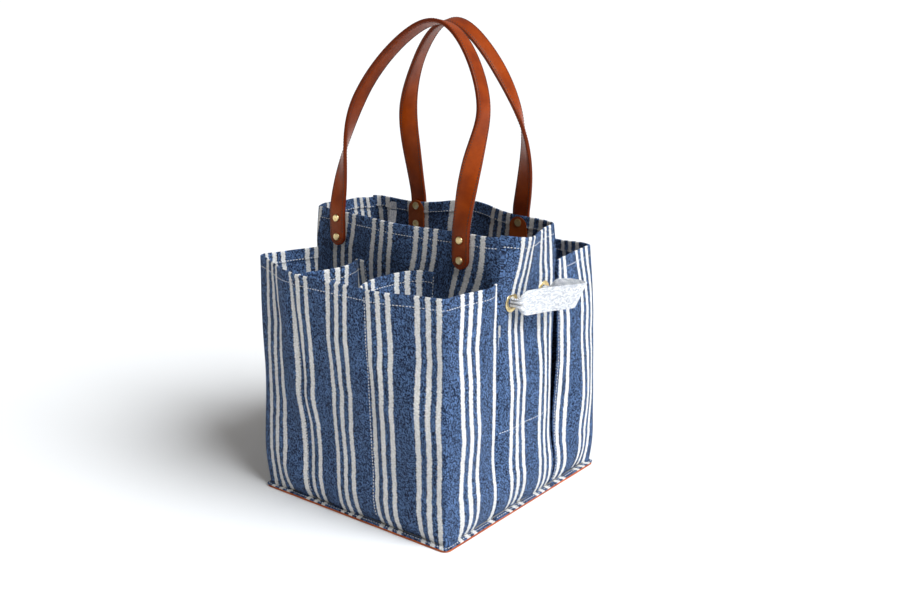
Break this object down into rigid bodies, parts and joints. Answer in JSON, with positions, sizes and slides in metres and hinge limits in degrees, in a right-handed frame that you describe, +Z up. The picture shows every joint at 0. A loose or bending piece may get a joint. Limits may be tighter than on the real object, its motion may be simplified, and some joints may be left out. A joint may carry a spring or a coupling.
{
  "type": "canvas tote bag",
  "caption": "Open-topped striped canvas tote with a tall middle compartment, divided outer pockets, folding leather handles and cotton side grips, on a leather base.",
  "frame": {"origin": "middle of the footprint, on the surface that the bag stands on", "axes": "+Z up, +X the bag's right side wall, -Y the front pocket"},
  "size_m": [0.3268, 0.294, 0.492],
  "materials": {
    "canvas": "heavy plain-weave cotton, blue with cream stripes",
    "handle_leather": "stitched cognac bridle leather",
    "base_leather": "reddish-brown leather, cut edge",
    "board": "plain board",
    "brass": "polished, lightly worn",
    "webbing": "coarse cotton webbing",
    "tape": "cotton twill tape"
  },
  "bodies": {
    "bag": {"leather_base": "base_leather", "base_stiffener": "board", "canvas_floor": "canvas", "main_front_wall": "canvas", "main_rear_wall": "canvas", "main_left_wall": "canvas", "main_right_wall": "canvas", "front_pocket_panel": "canvas", "rear_pocket_panel": "canvas", "front_pocket_divider_1": "canvas", "front_pocket_divider_2": "canvas", "rear_pocket_divider_1": "canvas", "rear_pocket_divider_2": "canvas", "interior_side_pocket": "canvas", "front_handle_ends": "handle_leather", "rear_handle_ends": "handle_leather", "front_handle_patches": "handle_leather", "rear_handle_patches": "handle_leather", "rivet_caps": "brass", "rivet_posts": "brass", "grommets": "brass", "grommet_washers": "brass", "right_webbing_anchors": "webbing", "left_webbing_anchors": "webbing", "key_leash_tab": "tape"},
    "front_handle": {"front_handle_strap": "handle_leather"},
    "rear_handle": {"rear_handle_strap": "handle_leather"},
    "right_side_handle": {"right_webbing_loop": "webbing"},
    "left_side_handle": {"left_webbing_loop": "webbing"},
    "key_leash": {"key_leash_tape": "tape", "clasp_eye": "brass"},
    "clasp": {"clasp_hook": "brass"},
    "clasp_gate": {"clasp_gate": "brass"}
  },
  "joints": [
    {"name": "front_handle_fold", "type": "hinge", "parent": "bag", "child": "front_handle", "pos_m": [0, -0.052, 0.294], "axis": [1, 0, 0], "range_deg": [0, 118]},
    {"name": "rear_handle_fold", "type": "hinge", "parent": "bag", "child": "rear_handle", "pos_m": [0, 0.052, 0.294], "axis": [-1, 0, 0], "range_deg": [0, 118]},
    {"name": "right_side_handle_swing", "type": "hinge", "parent": "bag", "child": "right_side_handle", "pos_m": [0.1265, 0, 0.226], "axis": [0, 1, 0], "range_deg": [-60, 60]},
    {"name": "left_side_handle_swing", "type": "hinge", "parent": "bag", "child": "left_side_handle", "pos_m": [-0.1265, 0, 0.226], "axis": [0, -1, 0], "range_deg": [-60, 60]},
    {"name": "key_leash_swing", "type": "hinge", "parent": "bag", "child": "key_leash", "pos_m": [-0.095, 0.0478, 0.2768], "axis": [-1, 0, 0], "range_deg": [0, 80]},
    {"name": "clasp_swivel", "type": "hinge", "parent": "key_leash", "child": "clasp", "pos_m": [-0.095, 0.0478, 0.2768], "axis": [0, -0.2419, -0.9703], "continuous": true},
    {"name": "clasp_gate_pivot", "type": "hinge", "parent": "clasp", "child": "clasp_gate", "pos_m": [-0.0875, 0.03274, 0.2164], "axis": [0, -0.9703, 0.2419], "range_deg": [0, 25], "stiffness_Nm_per_rad": 0.002}
  ]
}
